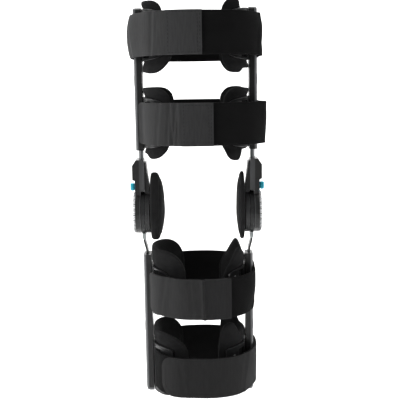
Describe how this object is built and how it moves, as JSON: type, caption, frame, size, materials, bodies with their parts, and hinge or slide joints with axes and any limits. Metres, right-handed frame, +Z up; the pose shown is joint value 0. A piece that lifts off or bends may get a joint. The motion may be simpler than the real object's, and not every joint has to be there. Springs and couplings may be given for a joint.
{
  "type": "hinged knee brace",
  "caption": "Post-operative hinged knee brace: telescoping side uprights, dial hinges with quick locks and knee pads, padded cuffs and wide hook-and-loop straps.",
  "frame": {"origin": "middle of the knee on the hinge axis, halfway between the two hinges", "axes": "+Z up along the straight leg, -Y the front, +X the right upright as seen from the front; left and right in the names are as seen from the front"},
  "size_m": [0.2117, 0.1762, 0.619],
  "materials": {
    "shell": "moulded black plastic with a faint sheen",
    "aluminium": "satin",
    "black_metal": "black coated metal",
    "white_plastic": "printed dial",
    "dark_blue": "moulded",
    "cyan": "moulded",
    "foam": "cloth-covered foam",
    "elastic": "woven elastic",
    "brushed": "brushed loop fabric",
    "hook_tab": "stitched tab"
  },
  "bodies": {
    "knee": {"thigh_bar_left": "aluminium", "thigh_rail_left": "black_metal", "hinge_housing_left": "shell", "inner_plate_left": "shell", "dial_left": "white_plastic", "pivot_left": "black_metal", "knee_pad_left": "foam", "thigh_bar_right": "aluminium", "thigh_rail_right": "black_metal", "hinge_housing_right": "shell", "inner_plate_right": "shell", "dial_right": "white_plastic", "pivot_right": "black_metal", "knee_pad_right": "foam"},
    "thigh_frame": {"thigh_shell_left": "shell", "thigh_button_left": "shell", "thigh_upper_cuff_left": "shell", "thigh_upper_pad_left": "foam", "thigh_lower_cuff_left": "shell", "thigh_lower_pad_left": "foam", "thigh_shell_right": "shell", "thigh_button_right": "shell", "thigh_upper_cuff_right": "shell", "thigh_upper_pad_right": "foam", "thigh_lower_cuff_right": "shell", "thigh_lower_pad_right": "foam", "strap_1_band": "elastic", "strap_1_front": "brushed", "strap_1_tab": "hook_tab", "strap_2_band": "elastic", "strap_2_front": "brushed", "strap_2_tab": "hook_tab"},
    "calf_bars": {"calf_bar_left": "black_metal", "calf_bar_right": "black_metal"},
    "calf_frame": {"calf_shell_left": "shell", "calf_button_left": "shell", "calf_upper_cuff_left": "shell", "calf_upper_pad_left": "foam", "calf_lower_cuff_left": "shell", "calf_lower_pad_left": "foam", "calf_shell_right": "shell", "calf_button_right": "shell", "calf_upper_cuff_right": "shell", "calf_upper_pad_right": "foam", "calf_lower_cuff_right": "shell", "calf_lower_pad_right": "foam", "strap_3_band": "elastic", "strap_3_front": "brushed", "strap_3_tab": "hook_tab", "strap_4_band": "elastic", "strap_4_outer": "brushed"},
    "lock_left": {"lock_slider_left": "dark_blue", "lock_knob_left": "cyan"},
    "lock_right": {"lock_slider_right": "dark_blue", "lock_knob_right": "cyan"}
  },
  "joints": [
    {"name": "thigh_length", "type": "slide", "parent": "knee", "child": "thigh_frame", "axis": [0, 0, 1], "range_m": [0, 0.06]},
    {"name": "knee_flexion", "type": "hinge", "parent": "knee", "child": "calf_bars", "pos_m": [0, 0, 0], "axis": [1, 0, 0], "range_deg": [0, 105]},
    {"name": "calf_length", "type": "slide", "parent": "calf_bars", "child": "calf_frame", "axis": [0, 0, -1], "range_m": [0, 0.05]},
    {"name": "quick_lock_left", "type": "slide", "parent": "knee", "child": "lock_left", "axis": [0, 0, 1], "range_m": [0, 0.004]},
    {"name": "quick_lock_right", "type": "slide", "parent": "knee", "child": "lock_right", "axis": [0, 0, 1], "range_m": [0, 0.004]}
  ]
}
